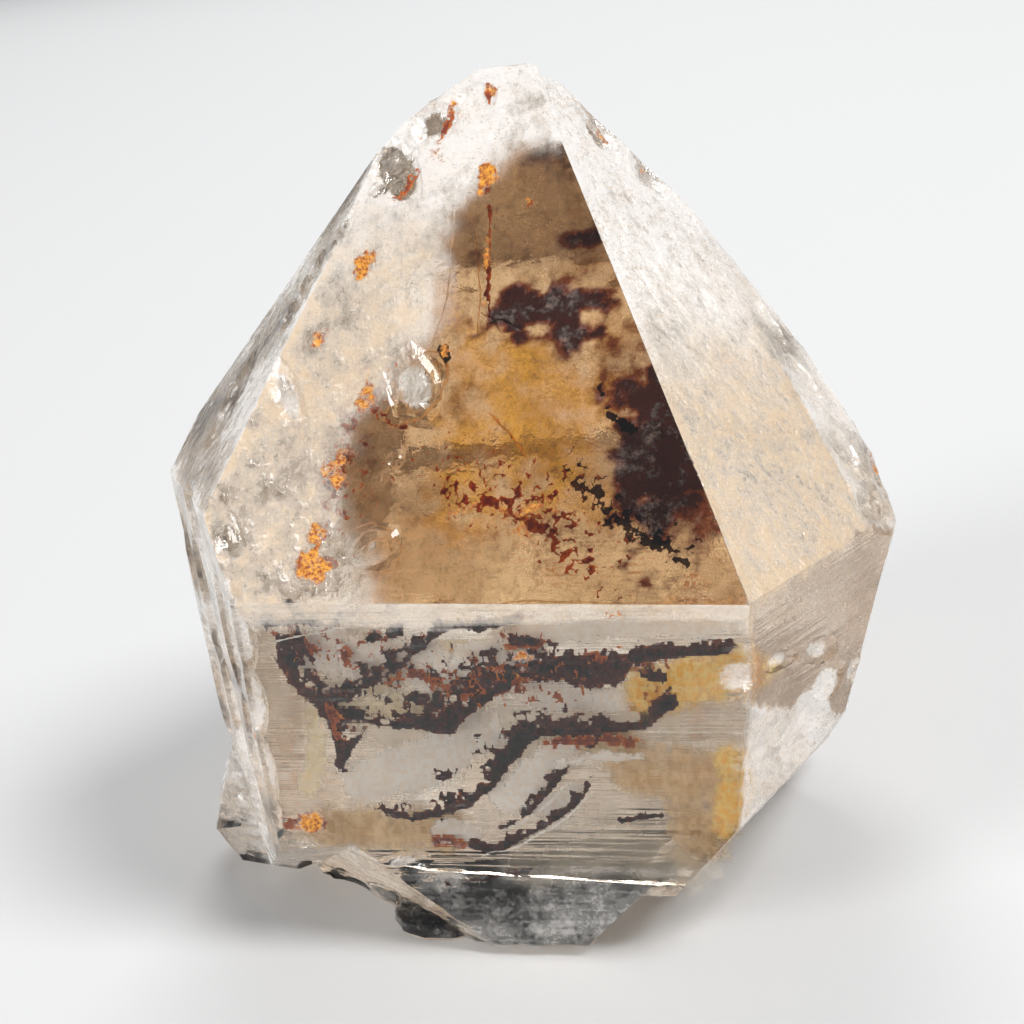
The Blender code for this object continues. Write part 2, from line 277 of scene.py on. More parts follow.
def quartz_look():
    """Clear quartz that attributes make smoky, frosted, lined or rusty in places, and darker with painted
    shade.
    """
    look = Look("quartz")
    dust = look.noise(DUST, 3.0, 0.75)
    grain = look.noise(GRAIN, 3.0, 0.66)
    cloud = look.noise(CLOUD, 3.0, 0.62)
    streaks = growth_streaks(look)

    # A smooth amount of frosting from the faces, broken up by grain, dust and growth lines.
    broken = look.total(look.attribute("frost"), look.around_zero(grain, 0.60), look.around_zero(dust, 0.60),
                        look.times(streaks, 1.9))
    frost = look.ramp(broken, 0.12, 0.92)
    smoke = look.total(look.attribute("smoke"), look.around_zero(grain, 0.5), look.around_zero(cloud, 0.4),
                       look.around_zero(dust, 0.2))
    # Painted shade: the clear glass is darkened along the growth lines and where the vertex attribute asks
    # for it, standing in for dark surroundings seen through it.
    shade = look.total(look.attribute("shade"), look.times(streaks, 2.2), look.around_zero(grain, 0.5))
    glass_tint_and_painted_shade = look.mix(look.ramp(shade, 0.45, 0.95), CLEAR, PAINTED_SHADE)
    tone = look.mix(look.ramp(smoke, 0.0, 1.0), glass_tint_and_painted_shade, smoke_tint(look, dust, grain, cloud))
    tone = look.mix(frost, tone, frost_color(look, dust, grain, cloud))
    rust = look.total(look.attribute("rust"), look.around_zero(grain, 2.0), look.around_zero(dust, 1.2))
    rust = look.times(look.ramp(rust, 0.42, 0.80), look.ramp(look.attribute("rust"), 0.02, 0.2))
    rust_color = look.mix(look.ramp(dust, 0.40, 0.62), RUST_ORANGE, RUST_BROWN)
    look.feed("Base Color", look.mix(rust, tone, rust_color))

    covered = look.math("MAXIMUM", look.times(frost, FROST_COVER), look.times(rust, RUST_COVER))
    look.feed("Transmission Weight", look.math("SUBTRACT", 1.0, covered, clamp=True))
    look.feed("Roughness", look.total(look.times(covered, FROST_ROUGHNESS), POLISH))
    look.set("IOR", QUARTZ_INDEX)
    grained = look.times(grain, look.total(look.attribute("frost"), 0.12))
    look.bump(look.total(grained, look.times(streaks, 1.2)), 0.50, 0.4 * MM)
    body = look.node("ShaderNodeVolumeAbsorption")
    body.inputs["Color"].default_value = BODY_TINT
    body.inputs["Density"].default_value = BODY_DENSITY
    look.link(body.outputs["Volume"], look.out.inputs["Volume"])
    return look.material


def flake_look(name, deep, red, bright):
    """Mineral flakes: darkest along their line, redder and rustier where they thin out."""
    look = Look(name)
    grain = look.noise(1100.0, 3.0, 0.7)
    fine = look.noise(4200.0, 2.0, 0.6)
    fade = look.total(look.attribute("thin"), look.around_zero(grain, 1.3))
    tone = look.mix(look.ramp(fade, 0.30, 0.85), deep, red)
    spark = look.total(fade, look.around_zero(fine, 0.9))
    look.feed("Base Color", look.mix(look.ramp(spark, 0.95, 1.35), tone, bright))
    look.feed("Roughness", look.ramp(fine, 0.3, 0.7, 0.45, 0.8))
    look.bump(fine, 0.3, 0.2 * MM)
    return look.material


def glass_look(name, index):
    """Water or gas shut in the quartz, with a faintly uneven skin."""
    look = Look(name)
    look.set("Base Color", (1.0, 1.0, 1.0, 1.0))
    look.set("Transmission Weight", 1.0)
    look.set("IOR", index)
    look.feed("Roughness", look.ramp(look.noise(1500.0, 4.0, 0.6), 0.3, 0.7, 0.0, 0.08))
    return look.material


def plain_look(name, color, roughness):
    """One even colour."""
    look = Look(name)
    look.set("Base Color", (*color, 1.0))
    look.set("Roughness", roughness)
    return look.material


def spotted_look(name, color, spot_color, scale, roughness):
    """One colour with spots of another."""
    look = Look(name)
    spots = look.ramp(look.noise(scale, 5.0, 0.6), 0.42, 0.62)
    look.feed("Base Color", look.mix(spots, color, spot_color))
    look.set("Roughness", roughness)
    return look.material


def veil_look(name, color, speck_color, low, high, scale=500.0, most=0.9):
    """A torn film inside the crystal: its cover fades and breaks up with the noise."""
    look = Look(name)
    coarse = look.noise(scale, 4.0, 0.7)
    fine = look.noise(scale * 5.0, 2.0, 0.7)
    broken = look.total(look.attribute("cover"), look.around_zero(coarse, 1.8), look.around_zero(fine, 0.6))
    cover = look.ramp(broken, low, high, 0.0, most)
    look.feed("Alpha", look.times(cover, look.ramp(look.attribute("cover"), 0.0, 0.25)))
    look.feed("Base Color", look.mix(look.ramp(fine, 0.35, 0.65), color, speck_color))
    look.set("Roughness", 0.6)
    return look.material


# Crystal


def new_piece(name, bm, material, flat=True):
    """A mesh object made from a bmesh, riding on the one body."""
    mesh = bpy.data.meshes.new(name)
    bm.to_mesh(mesh)
    bm.free()
    mesh.materials.append(material)
    for polygon in mesh.polygons:
        polygon.use_smooth = not flat
    piece = bpy.data.objects.new(name, mesh)
    bpy.context.scene.collection.objects.link(piece)
    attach(piece, "root")
    return piece


# The amounts that each vertex of the skin keeps for the quartz material, and their limits.
FIELDS = ("frost", "lined", "sloped", "smoke", "gold", "pale", "dark", "warm", "rust", "shade")
FIELD_LIMITS = (-0.5, 1.2)

# A point this near a face's plane is on that face, and this near a second plane it is at an edge.
FACE_REACH = 0.35
EDGE_REACH = 0.7

# Points nearer than this, in metres, count as one.
SAME_PLACE = 1e-6

# The slices lie this share of a step above evenly spaced places.
SLICE_SHIFT = 0.13

# Below this height the skin isn't roughened, so that the resting spot stays flat.
RESTING_HEIGHT = 0.4

# The tip faces begin at this height.
SHOULDER = 26.0

# Left border of the smoky window on the front tip face: height up the slope, x.
WINDOW_EDGE = [
    (8.0, -8.4), (11.6, -8.0), (15.0, -9.8), (18.0, -10.8), (20.6, -10.2), (22.6, -7.6),
    (27.4, -4.6), (30.0, -4.4), (35.5, -3.8), (37.6, -1.6), (40.4, 0.2), (43.0, 1.6),
]

# Patches: face, x, height up the face, half width, half height, amount.
DARK_PATCHES = [
    ("tip_front", 3.8, 28.0, 4.0, 1.8, 1.9), ("tip_front", 5.2, 33.0, 2.8, 0.55, 1.2),
    ("tip_front", 4.8, 26.0, 1.6, 1.8, 1.5), ("tip_front", 2.6, 39.6, 1.6, 1.3, 0.8),
    ("tip_front", 10.6, 17.8, 3.2, 5.6, 1.8), ("tip_front", -2.2, 22.8, 1.6, 2.2, 0.42),
    ("tip_front", -2.3, 33.6, 1.3, 2.2, 0.45), ("tip_front", 12.6, 13.6, 2.0, 2.6, 0.7),
    ("tip_front", 7.0, 23.0, 1.4, 4.0, 0.55),
    ("tip_front", 7.6, 24.2, 2.0, 2.6, 0.45), ("tip_front", 4.0, 37.6, 1.2, 1.0, 0.6),
    ("tip_front", -7.4, 18.8, 2.3, 1.9, 0.46), ("tip_front", -8.2, 15.2, 2.0, 1.6, 0.26),
    ("tip_front", 2.4, 13.2, 4.2, 1.6, 0.26), ("tip_front", 1.5, 17.0, 3.0, 1.6, 0.2),
    ("tip_front", 4.4, 30.6, 4.4, 5.2, 0.34), ("tip_front", 9.4, 22.0, 3.4, 7.0, 0.38),
]
GOLD_PATCHES = [
    ("tip_front", 2.7, 21.0, 7.0, 7.5, 0.9), ("tip_front", 6.0, 27.0, 4.0, 5.0, 0.5),
    ("tip_front", -2.0, 15.0, 3.0, 5.0, 0.8), ("tip_front", 7.0, 15.0, 4.0, 3.0, 0.7),
]
PALE_PATCHES = [
    ("tip_front", 4.0, 10.0, 13.0, 3.4, 0.9), ("tip_front", 0.0, 34.5, 2.0, 4.0, 0.6),
    ("tip_front", 4.4, 24.6, 1.6, 1.2, 0.5), ("tip_front", 5.8, 29.8, 1.5, 0.8, 0.6),
]
RUST_PATCHES = [
    ("tip_front", -12.0, 11.2, 1.7, 1.1, 1.0), ("tip_front", -9.8, 32.2, 0.7, 1.3, 0.9),
    ("tip_front", -12.4, 27.4, 0.7, 0.7, 0.9), ("tip_front", -1.4, 44.6, 0.9, 0.8, 0.9),
    ("tip_front", -3.9, 43.5, 0.6, 0.6, 0.7), ("tip_front", -1.2, 38.0, 0.7, 1.4, 1.0),
    ("tip_front", -1.0, 31.5, 0.35, 3.2, 0.75), ("tip_front", 1.6, 35.9, 0.3, 0.3, 1.0),
    ("tip_front", -3.7, 25.8, 0.5, 0.7, 0.9), ("tip_front", -9.0, 22.6, 0.9, 1.0, 0.85),
    ("tip_front", -10.6, 17.9, 1.0, 1.2, 0.85), ("tip_front", -11.7, 13.5, 0.8, 0.8, 0.8),
    ("tip_front", 1.2, 14.3, 3.2, 1.4, 0.45), ("tip_front", -5.5, 40.5, 2.0, 2.2, 0.35),
    ("front", -15.0, 10.3, 1.5, 0.8, 1.0), ("front", -5.3, 8.8, 1.6, 0.5, 0.5),
    ("front", 1.6, 22.4, 0.7, 0.5, 0.8), ("front", -16.6, 7.5, 1.5, 1.2, 0.45),
    ("front", -12.6, 17.6, 0.6, 1.0, 0.6),
]


def patch_amount(patches, spot):
    """The strongest patch at a spot, each fading out across a ragged border."""
    best = 0.0
    for face, x, up, half_width, half_height, amount in patches:
        if face == spot.face:
            off = math.hypot((spot.x - x) / half_width, (spot.up - up) / half_height) + 0.9 * spot.rough
            best = max(best, amount * (1.0 - smooth(off, 0.35, 1.5)))
    return best


class Spot:
    """One point of the skin, in mm: its nearest face, its place there and its noises."""

    def __init__(self, place):
        self.point = place / MM
        near = sorted((abs(self.point.dot(AXES[name][0]) - AXES[name][3]), name) for name in AXES)
        self.face = near[0][1]
        self.on = near[0][0] < FACE_REACH
        self.edge = 1.0 - smooth(near[1][0], 0.0, EDGE_REACH)
        self.x = self.point.x
        self.up = self.point.dot(AXES[self.face][2])
        self.cloud = fractal(self.point, 7.0)
        self.rough = fractal(self.point, 1.6, 5, 9.0)


def broken_skin(spot):
    """Broken quartz between the faces: frosted and stained, glassier at the top left and on the foot, where
    painted shade darkens it.
    """
    point, cloud, rough = spot.point, spot.cloud, spot.rough
    values = {
        "frost": 0.62 + 0.5 * cloud,
        "warm": 0.35 * smooth(fractal(point, 9.0, 3, 5.0), 0.0, 0.5),
        "rust": 0.45 * smooth(fractal(point, 6.0, 4, 3.0), 0.15, 0.5),
    }
    # Painted shade darkens the glassier breaks at the top left and, in patches, on the foot.
    if point.z > SHOULDER and point.y < 2.0 and spot.x < 6.0:
        values.update(frost=0.26 + 0.35 * cloud, shade=0.10 + 0.5 * rough, rust=0.0)
    if point.z < 7.0 and point.y < -8.0:
        tongue = smooth(spot.x, -5.5, -3.5)
        rest = 1.0 - tongue
        values["frost"] = rest * (0.42 + 0.6 * cloud) + tongue * (0.24 + 0.3 * cloud)
        values["shade"] = rest * (0.5 * rough - 0.1) + tongue * 0.15
        values["warm"] = rest * 0.45
        values["rust"] *= rest
        values["lined"] = 0.28
    return values, 0.14 * rough


def front_tip_skin(spot):
    """The smoky window, and the frosted band to its left and above it."""
    x, up, cloud, rough = spot.x, spot.up, spot.cloud, spot.rough
    border = between(up, WINDOW_EDGE)
    inside = smooth(x + rough, border - 2.2, border + 2.0) * (1.0 - smooth(up + rough, 38.5, 42.5))
    clear = smooth(x + 1.4 * rough, border - 2.6, border + 4.4) * (1.0 - smooth(up + rough, 36.5, 42.5))
    frosting = 0.88 + 0.34 * cloud + 0.22 * rough + 0.30 * smooth(up, 24.0, 38.0)
    values = {
        "smoke": inside,
        "frost": (1.0 - clear) * frosting - 0.34,
        # Painted shade in soft patches over the face.
        "shade": 0.35 * smooth(fractal(spot.point, 3.0, 4, 8.0), -0.1, 0.5),
        "warm": (0.78 - 0.6 * smooth(up, 27.0, 42.0)) * (1.0 - inside),
        "sloped": 0.35 * (1.0 - inside),
        "lined": 0.20 * (1.0 - smooth(up, 11.0, 15.0)),
        "dark": patch_amount(DARK_PATCHES, spot),
        "gold": patch_amount(GOLD_PATCHES, spot),
        "pale": patch_amount(PALE_PATCHES, spot),
    }
    return values, (0.10 - 0.08 * inside) * rough


def right_tip_skin(spot):
    """Frosted all over, white at the top and warm lower down."""
    values = {
        "frost": 0.66 + 0.16 * spot.cloud + 0.2 * smooth(spot.up, 16.0, 34.0),
        "sloped": 0.60,
        "warm": 0.85 * (1.0 - smooth(spot.up, 12.0, 30.0)) + 0.05,
    }
    return values, 0.05 * spot.rough


def front_skin(spot):
    """Clear, finely lined glass over the flakes, frosted at its top ledge, foot and right rim."""
    ledge = smooth(spot.up, 24.0, 25.4)
    foot = 1.0 - smooth(spot.up, 5.0, 9.0)
    rim = smooth(spot.x, 13.4, 15.4)
    values = {
        "frost": 0.14 * spot.cloud + 0.70 * ledge + 0.35 * foot + 0.25 * rim,
        "lined": 0.55,
        "warm": 0.60,
    }
    ribs = fractal((spot.x * 0.08, 0.0, spot.point.z), 1.1, 4)
    return values, 0.05 * ribs + 0.02 * spot.rough


def front_right_skin(spot):
    """Warm, lightly smoked glass."""
    values = {"frost": 0.22 + 0.25 * spot.cloud, "warm": 1.0, "smoke": 0.42, "pale": 0.6, "lined": 0.35}
    return values, 0.0


def left_skin(spot):
    """Glass broken by streaks of painted shade, which run down the slope on the tip face."""
    on_tip = spot.face == "tip_left"
    values = {
        "frost": 0.46 + 0.70 * spot.cloud,
        "sloped": 1.05 if on_tip else 0.30,
        "lined": 0.0 if on_tip else 0.55,
        # Painted shade in streaks over the glass.
        "shade": 0.60 + 0.8 * fractal(spot.point, 3.5, 4, 6.0),
    }
    return values, 0.03 * spot.rough


def back_skin(spot):
    """The hidden faces: patchy frosting over growth lines."""
    on_tip = spot.point.z >= SHOULDER
    values = {
        "frost": 0.40 + 0.40 * spot.cloud,
        "lined": 0.15 if on_tip else 0.5,
        "sloped": 0.4 if on_tip else 0.0,
        "warm": 0.3,
    }
    return values, 0.03 * spot.rough


SKINS = {
    "tip_front": front_tip_skin,
    "tip_right": right_tip_skin,
    "front": front_skin,
    "front_right": front_right_skin,
    "front_left": left_skin,
    "tip_left": left_skin,
}


def sliced_copy(source):
    """A merged copy of the solid's mesh, cut into small facets by planes along each axis."""
    bm = bmesh.new()
    bm.from_mesh(source.data)
    bm.transform(source.matrix_world)
    bmesh.ops.remove_doubles(bm, verts=bm.verts, dist=SAME_PLACE)
    corners = [v.co.copy() for v in bm.verts]
    for axis in range(3):
        low = min(c[axis] for c in corners)
        high = max(c[axis] for c in corners)
        normal = Vector((0.0, 0.0, 0.0))
        normal[axis] = 1.0
        count = int((high - low) / (SLICE_STEP * MM))
        for index in range(1, count):
            place = Vector((0.0, 0.0, 0.0))
            place[axis] = low + (high - low) * (index + SLICE_SHIFT) / count
            geometry = bm.verts[:] + bm.edges[:] + bm.faces[:]
            bmesh.ops.bisect_plane(bm, geom=geometry, dist=SAME_PLACE, plane_co=place, plane_no=normal)
    bmesh.ops.triangulate(bm, faces=bm.faces)
    bm.normal_update()
    return bm


def crystal_skin(material):
    """The crystal's finer skin, with each vertex's looks kept in attributes."""
    bm = sliced_copy(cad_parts["quartz_crystal"])
    layers = {name: bm.verts.layers.float.new(name) for name in FIELDS}
    lowest, highest = FIELD_LIMITS
    moves = []
    for vertex in bm.verts:
        spot = Spot(vertex.co)
        skin = SKINS.get(spot.face, back_skin) if spot.on else broken_skin
        made, push = skin(spot)
        values = {**dict.fromkeys(FIELDS, 0.0), **made}
        if spot.on:
            values["frost"] += 0.45 * spot.edge * (0.6 + spot.rough)
            values["rust"] = patch_amount(RUST_PATCHES, spot)
        for key, layer in layers.items():
            vertex[layer] = max(lowest, min(highest, values[key]))
        if spot.point.z > RESTING_HEIGHT:
            moves.append((vertex, vertex.normal * (push * MM * (1.0 - 0.7 * spot.edge))))
    for vertex, move in moves:
        vertex.co += move
    piece = new_piece("crystal", bm, material)
    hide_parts("quartz_crystal")


# Inclusions

# Films and flakes lie at least this deep, and wave up and down by about so much.
LEAST_DEPTH = 0.15
FLAKE_WAVE = 0.25
FILM_WAVE = 0.6

# A flake's cells stay where their value, 1 on the line and less away from it, is at least this.
KEPT_FROM = 0.35

# Flakes: face, depth, reach below their line, reach above it, (x, height) path, how ragged.
DARK_BANDS = [
    ("front", 0.8, 0.5, 1.0, [(-15.5, 24.9), (-13.3, 25.0), (-11.2, 24.8)], 1.9),
    ("front", 0.9, 0.5, 0.6, [(-12.9, 22.3), (-13.3, 23.1), (-13.5, 24.6)], 1.2),
    ("front", 1.3, 1.2, 1.4, [(-14.8, 22.7), (-14.0, 20.7), (-12.4, 18.8), (-11.8, 17.3)], 1.0),
    ("front", 1.4, 0.3, 0.8, [(-12.6, 18.9), (-12.2, 16.4), (-12.1, 14.0)], 0.9),
    ("front", 1.3, 0.2, 0.9, [(-12.1, 14.0), (-11.1, 15.5), (-10.2, 16.5)], 0.9),
    ("front", 1.3, 0.5, 0.8, [(-12.9, 19.1), (-10.7, 19.3), (-9.7, 20.1)], 1.7),
    ("front", 0.9, 0.5, 0.9, [(-10.6, 19.8), (-7.6, 21.3), (-5.0, 23.2), (-3.8, 24.4)], 1.6),
    ("front", 0.7, 0.5, 0.6, [(-4.1, 24.0), (-3.0, 24.7), (-1.2, 24.4), (1.6, 25.0)], 0.8),
    ("front", 0.8, 0.5, 0.6, [(-8.6, 23.8), (-6.5, 24.2)], 2.1),
    ("front", 1.2, 0.45, 1.2, [(-10.7, 18.0), (-8.9, 17.4), (-6.1, 17.4), (-4.4, 16.7)], 1.6),
    ("front", 1.1, 0.6, 3.6, [(-6.1, 17.3), (-4.2, 17.0), (-2.7, 18.4), (-1.4, 19.3)], 0.9),
    ("front", 1.1, 0.5, 1.6, [(-1.6, 19.2), (0.1, 20.2), (1.2, 20.9), (2.9, 21.8)], 1.1),
    ("front", 1.0, 1.5, 1.9, [(2.5, 21.3), (4.0, 21.4), (5.6, 21.0), (7.4, 21.2)], 0.8),
    ("front", 1.0, 0.5, 1.0, [(3.6, 21.8), (6.4, 21.6), (9.0, 22.0), (12.2, 22.4), (14.4, 22.5)], 0.6),
    ("front", 1.0, 0.5, 0.8, [(9.3, 20.9), (10.4, 20.5), (11.6, 21.0)], 1.1),
    ("front", 1.1, 0.4, 1.0, [(-9.4, 10.8), (-7.6, 10.3), (-5.6, 10.7), (-3.4, 11.5)], 0.8),
    ("front", 1.1, 0.35, 1.9, [(-3.6, 11.4), (-1.7, 12.8), (-0.3, 14.6), (1.1, 16.1), (2.5, 17.0)], 1.3),
    ("front", 1.1, 0.6, 1.2, [(0.9, 16.7), (2.5, 16.8), (4.7, 17.0), (6.8, 16.9), (8.6, 17.2),
                            (10.8, 18.9)], 0.7),
    ("front", 1.1, 0.4, 0.7, [(4.1, 16.6), (5.2, 15.8), (5.9, 16.7)], 0.9),
    ("front", 1.3, 0.25, 0.8, [(-1.0, 9.8), (0.6, 10.8), (2.0, 12.3), (3.4, 13.9)], 0.9),
    ("front", 1.0, 0.3, 0.75, [(-3.5, 8.4), (-2.3, 7.8), (-0.3, 8.9), (2.4, 10.5), (3.8, 11.5),
                             (4.9, 12.9)], 0.8),
    ("front", 0.9, 0.4, 0.5, [(-3.6, 8.4), (-2.6, 8.2), (-1.6, 8.4)], 0.7),
    ("front", 0.8, 0.5, 0.5, [(-5.2, 13.7), (-4.5, 13.8)], 1.2),
    ("front", 0.7, 0.6, 0.6, [(1.2, 23.3), (2.4, 23.4)], 1.4),
    ("front", 0.7, 0.25, 0.3, [(6.8, 10.4), (8.0, 10.7), (9.5, 10.9)], 1.3),
    ("front", 0.6, 0.2, 0.35, [(-6.4, 5.2), (-3.4, 5.8), (0.2, 6.6)], 0.9),
]
DARK_FLECKS = [
    ("tip_front", 0.25, 0.3, 0.3, [(6.6, 22.7), (6.9, 22.2)], 1.5),
    ("tip_front", 0.25, 0.45, 0.45, [(7.3, 20.9), (8.9, 19.5)], 1.8),
    ("tip_front", 0.25, 0.3, 0.3, [(5.4, 17.5), (5.9, 17.3)], 1.7),
    ("tip_front", 0.25, 0.4, 0.4, [(5.5, 15.9), (6.6, 15.6), (7.2, 14.2)], 1.8),
    ("tip_front", 0.25, 0.5, 0.5, [(8.0, 13.6), (10.6, 11.9)], 2.2),
    ("tip_front", 0.25, 0.4, 0.4, [(11.7, 11.1), (12.6, 10.6)], 1.8),
    ("tip_front", 0.25, 0.5, 0.5, [(-4.0, 26.0), (-3.6, 25.2)], 1.3),
    ("tip_front", 0.25, 0.4, 0.4, [(-11.6, 17.0), (-11.2, 16.6)], 1.9),
]
RUST_FLECKS = [
    ("tip_front", 0.2, 0.5, 0.5, [(-0.6, 15.2), (1.2, 14.4), (3.0, 13.2)], 2.2),
    ("tip_front", 0.2, 0.5, 0.7, [(-13.2, 11.2), (-11.8, 11.3), (-10.4, 11.4)], 1.2),
    ("tip_front", 0.2, 0.3, 0.3, [(-10.3, 31.3), (-9.2, 33.2)], 1.5),
    ("tip_front", 0.2, 0.4, 0.4, [(-12.5, 27.2), (-12.1, 27.6)], 1.1),
    ("tip_front", 0.2, 0.5, 0.5, [(-9.4, 22.6), (-8.6, 23.2), (-8.4, 21.9)], 2.0),
    ("tip_front", 0.2, 0.6, 0.6, [(-11.2, 17.0), (-10.2, 18.6)], 2.0),
    ("tip_front", 0.2, 0.4, 0.4, [(-12.0, 12.8), (-11.4, 14.0)], 2.0),
    ("tip_front", 0.2, 0.3, 0.3, [(-7.4, 37.2), (-5.2, 40.5), (-3.8, 43.4)], 2.3),
    ("tip_front", 0.2, 0.45, 0.45, [(-1.3, 37.2), (-1.2, 38.8)], 1.2),
    ("tip_front", 0.2, 0.2, 0.2, [(-0.9, 28.0), (-1.0, 32.0), (-1.1, 36.0)], 1.9),
    ("tip_front", 0.2, 0.4, 0.4, [(-1.6, 44.7), (-1.2, 44.0)], 1.2),
    ("tip_front", 0.2, 0.3, 0.3, [(1.5, 35.8), (1.8, 36.0)], 1.0),
    ("tip_front", 0.2, 0.3, 0.3, [(-7.6, 21.0), (-6.4, 20.5), (-5.6, 20.9)], 1.6),
    ("front", 0.7, 0.6, 0.6, [(-16.4, 9.9), (-15.2, 10.4), (-13.8, 10.2)], 1.5),
    ("front", 0.65, 0.3, 0.5, [(-1.4, 24.7), (1.9, 25.1)], 1.2),
    ("front", 1.3, 0.5, 0.5, [(-12.2, 18.6), (-11.9, 16.4)], 1.3),
    ("front", 1.05, 0.5, 1.0, [(7.0, 21.6), (9.6, 21.2)], 1.7),
    ("front", 1.15, 0.3, 0.9, [(8.6, 17.6), (10.4, 18.9)], 1.5),
    ("front", 1.15, 0.9, 0.9, [(-1.4, 19.6), (1.0, 20.6)], 2.0),
    ("front", 1.15, 0.9, 0.2, [(2.6, 16.2), (8.0, 16.4)], 2.2),
    ("front", 0.75, 0.6, 0.6, [(0.8, 23.2), (2.6, 23.2)], 1.9),
    ("front", 1.0, 0.5, 0.5, [(-6.0, 8.7), (-4.2, 8.4)], 1.6),
]
# Scattered specks, with the same values.
DARK_SPECKS = [
    ("tip_front", 0.25, 1.2, 1.2, [(5.0, 16.5), (7.5, 13.5), (11.5, 11.5)], 1.9),
]
RUST_SPECKS = [
    ("tip_front", 0.2, 2.2, 2.2, [(-2.5, 15.5), (3.5, 14.0), (5.0, 11.0)], 2.0),
    ("tip_front", 0.2, 1.6, 1.6, [(-10.0, 24.0), (-11.5, 15.0)], 1.9),
    ("front", 0.9, 1.8, 1.8, [(-13.0, 23.0), (-5.0, 20.5), (4.0, 19.5)], 1.9),
]
# Films: face, depth, half width, path.
WHITE_VEILS = [
    ("front", 1.5, 2.0, [(-9.4, 22.2), (-3.0, 21.0), (1.0, 22.6)]),
    ("front", 1.5, 1.5, [(-0.9, 11.8), (3.2, 15.2)]),
    ("front", 1.5, 0.7, [(1.5, 11.1), (4.2, 12.6)]),
    ("front", 1.6, 0.9, [(-5.4, 9.4), (-3.4, 8.9)]),
    ("front", 2.3, 2.2, [(-10.6, 12.6), (-6.0, 14.4), (-2.6, 16.4)]),
    ("front", 1.5, 1.2, [(2.0, 23.9), (9.0, 24.3), (14.8, 24.4)]),
    ("front", 1.2, 0.35, [(3.1, 14.5), (5.8, 15.1), (8.7, 14.9)]),
    ("front", 2.0, 1.1, [(1.4, 19.2), (6.0, 18.7), (10.8, 19.6)]),
    ("front", 2.2, 2.2, [(-12.6, 22.6), (-10.8, 22.4)]),
]
GOLD_VEILS = [
    ("front", 1.1, 1.8, [(9.5, 19.7), (12.7, 20.6), (15.4, 21.0)]),
    ("front", 0.9, 1.1, [(14.2, 15.0), (14.2, 12.8), (13.5, 10.0)]),
]
TAN_VEILS = [
    ("front", 2.2, 1.8, [(-14.2, 9.0), (-10.0, 9.4), (-5.4, 8.9)]),
    ("front", 2.6, 2.6, [(8.0, 14.4), (12.6, 12.4), (11.4, 8.4)]),
]
PALE_VEILS = [
    ("front", 1.3, 2.2, [(0.0, 6.6), (6.0, 8.2), (11.0, 6.8)]),
    ("front", 2.9, 3.4, [(-11.0, 19.0), (-2.0, 15.5), (9.0, 18.0)]),
]
STRAW_VEILS = [
    ("front", 2.0, 0.9, [(-13.2, 19.0), (-13.5, 16.4), (-14.6, 12.4)]),
    ("front", 1.9, 1.3, [(-11.4, 18.0), (-6.0, 18.6)]),
    ("front", 1.9, 1.2, [(-9.0, 20.0), (-3.0, 22.4), (1.0, 23.4)]),
    ("front", 1.9, 1.0, [(2.6, 15.6), (7.0, 16.0)]),
]
# White crack lines: face, depth, width, places.
CRACK_LINES = [
    ("tip_front", 0.9, 0.22, [(-0.8, 21.5), (0.1, 20.5), (1.1, 19.5), (1.9, 18.1)]),
    ("tip_front", 0.8, 0.20, [(-1.5, 28.5), (-0.7, 28.0), (-0.1, 26.9)]),
    ("tip_front", 0.8, 0.16, [(-1.2, 27.6), (-0.1, 28.0), (1.4, 27.0)]),
    ("tip_front", 0.5, 0.20, [(-6.1, 25.3), (-5.2, 25.9), (-4.2, 25.8), (-3.7, 24.8), (-3.6, 24.0),
                              (-4.0, 22.5), (-5.3, 21.2), (-7.0, 20.7), (-7.9, 21.2), (-7.3, 22.6),
                              (-6.6, 24.1), (-6.1, 25.3)]),
    ("tip_front", 0.7, 0.13, [(-5.9, 24.6), (-5.4, 23.2), (-6.4, 21.6)]),
    ("tip_front", 0.5, 0.13, [(-10.0, 12.7), (-9.6, 13.7), (-8.2, 14.2), (-6.9, 13.6), (-6.1, 12.4),
                              (-6.5, 10.9), (-8.1, 10.6), (-9.5, 11.5), (-10.0, 12.7)]),
    ("tip_front", 0.5, 0.10, [(-9.4, 12.0), (-8.4, 12.9), (-7.2, 13.1), (-6.6, 12.0)]),
    ("tip_front", 0.4, 0.14, [(-4.1, 43.6), (-3.5, 36.8), (-3.8, 29.5), (-4.7, 26.3)]),
    ("tip_front", 0.4, 0.12, [(-2.0, 34.4), (-1.5, 29.3), (-1.7, 26.5)]),
    ("tip_front", 0.3, 0.12, [(-6.1, 37.7), (-6.9, 31.9), (-8.1, 27.6), (-9.3, 24.1)]),
    ("tip_front", 0.3, 0.10, [(-12.3, 33.7), (-12.9, 29.3), (-12.4, 26.4)]),
    ("tip_front", 1.4, 0.30, [(6.7, 28.9), (7.8, 28.9)]),
    ("front", 0.9, 0.18, [(3.1, 14.5), (5.8, 15.1), (8.7, 14.9)]),
    ("front", 1.0, 0.16, [(-1.6, 9.4), (0.8, 10.4), (3.8, 13.4)]),
    ("front", 0.9, 0.14, [(-3.0, 7.6), (-0.3, 8.4), (3.0, 10.4), (5.3, 12.7)]),
    ("front", 0.3, 0.16, [(-16.4, 23.4), (-4.0, 25.9), (6.0, 25.3), (15.6, 25.6)]),
    ("front", 0.3, 0.12, [(-15.6, 25.4), (-6.0, 25.2), (2.0, 26.2), (8.0, 25.9)]),
]


def distance_to_path(x, up, path):
    """Distance to a path, and on which side of it: positive to the left of its direction."""
    best, side = math.inf, 1.0
    for (ax, au), (bx, bu) in zip(path, path[1:]):
        lx, lu = bx - ax, bu - au
        t = max(0.0, min(1.0, ((x - ax) * lx + (up - au) * lu) / (lx * lx + lu * lu)))
        off = math.hypot(x - ax - t * lx, up - au - t * lu)
        if off < best:
            best = off
            side = lx * (up - au) - lu * (x - ax)
    return best, side


